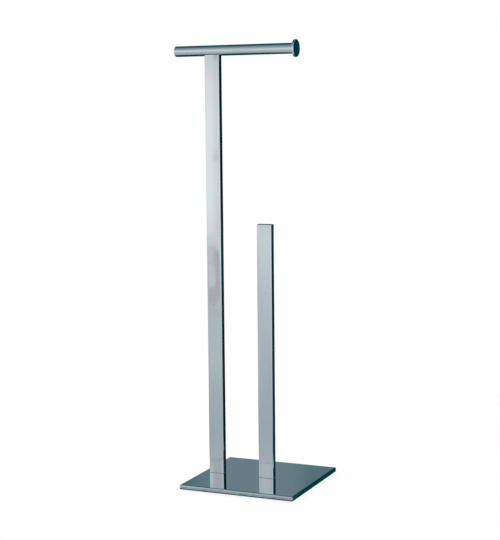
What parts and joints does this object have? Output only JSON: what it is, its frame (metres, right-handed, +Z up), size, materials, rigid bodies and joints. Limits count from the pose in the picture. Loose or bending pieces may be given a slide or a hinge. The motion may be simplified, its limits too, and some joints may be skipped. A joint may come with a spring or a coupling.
{
  "type": "freestanding toilet roll holder",
  "caption": "Freestanding toilet roll holder: a square weighted plate, a tall post with a round roll bar ending in a button, and a shorter post that stores spare rolls.",
  "frame": {"origin": "on the floor, under the middle of the whole object's bounding box", "axes": "+Z up along the posts, +X along the roll bar towards its end button, so -Y is the front"},
  "size_m": [0.2214, 0.183, 0.67],
  "materials": {
    "plate_chrome": "mirror-polished chrome plate on steel",
    "post_chrome": "polished chrome plate on drawn steel tube, slightly soft reflections",
    "bar_chrome": "polished chrome plate on round steel tube",
    "cap_chrome": "polished chrome plate on turned metal",
    "plug_brass": "plain turned and milled brass, unplated",
    "zinc_steel": "bright zinc-plated steel",
    "black_steel": "black oxide on alloy steel",
    "pad_rubber": "matt black moulded rubber",
    "gasket_rubber": "thin grey die-cut rubber film"
  },
  "bodies": {
    "root": {"base_plate": "plate_chrome", "pad_front_left": "pad_rubber", "pad_front_right": "pad_rubber", "pad_rear_left": "pad_rubber", "pad_rear_right": "pad_rubber", "tall_post": "post_chrome", "tall_post_gasket": "gasket_rubber", "tall_post_foot_plug": "plug_brass", "tall_post_foot_screws": "zinc_steel", "tall_post_head_plug": "plug_brass", "spare_post": "post_chrome", "spare_post_gasket": "gasket_rubber", "spare_post_foot_plug": "plug_brass", "spare_post_foot_screws": "zinc_steel", "spare_post_top_cap": "cap_chrome", "roll_bar": "bar_chrome", "bar_end_cap": "cap_chrome", "bar_joint_insert": "plug_brass", "bar_joint_screw": "black_steel", "bar_joint_washer": "zinc_steel", "end_button": "cap_chrome", "button_insert": "plug_brass", "button_stud": "black_steel"}
  },
  "joints": []
}
